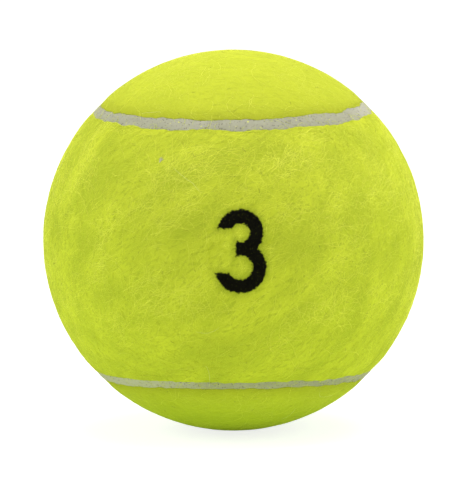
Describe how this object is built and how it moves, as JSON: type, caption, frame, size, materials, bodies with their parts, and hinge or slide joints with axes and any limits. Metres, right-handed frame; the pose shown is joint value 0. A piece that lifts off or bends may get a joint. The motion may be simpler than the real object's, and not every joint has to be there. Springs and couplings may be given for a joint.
{
  "type": "tennis ball",
  "caption": "Hollow rubber ball under interlocked panels of yellow-green napped felt with a pale rubber seam, for tennis and as a general throwing ball.",
  "frame": {"origin": "centre of the ball", "axes": "the front felt panel's waist faces -Y with its length along X, and the rear panel's waist faces +Y with its length along Z; the core's two half shells meet in the plane Z = 0"},
  "size_m": [0.067, 0.067, 0.067],
  "materials": {
    "core_rubber": "moulded, matt, lightly buffed outside",
    "joint_cement": "cured rubber cement, satin",
    "coat_cement": "dried rubber cement, matt",
    "yellow_felt": "napped needle-felted cloth, matt with a soft sheen",
    "seam_rubber": "vulcanised, matt, slightly rough"
  },
  "bodies": {
    "root": {"core_half_upper": "core_rubber", "core_half_lower": "core_rubber", "core_joint_cement": "joint_cement", "cover_cement": "coat_cement", "felt_panel_front": "yellow_felt", "felt_panel_rear": "yellow_felt", "seam_cement": "seam_rubber"}
  },
  "joints": []
}
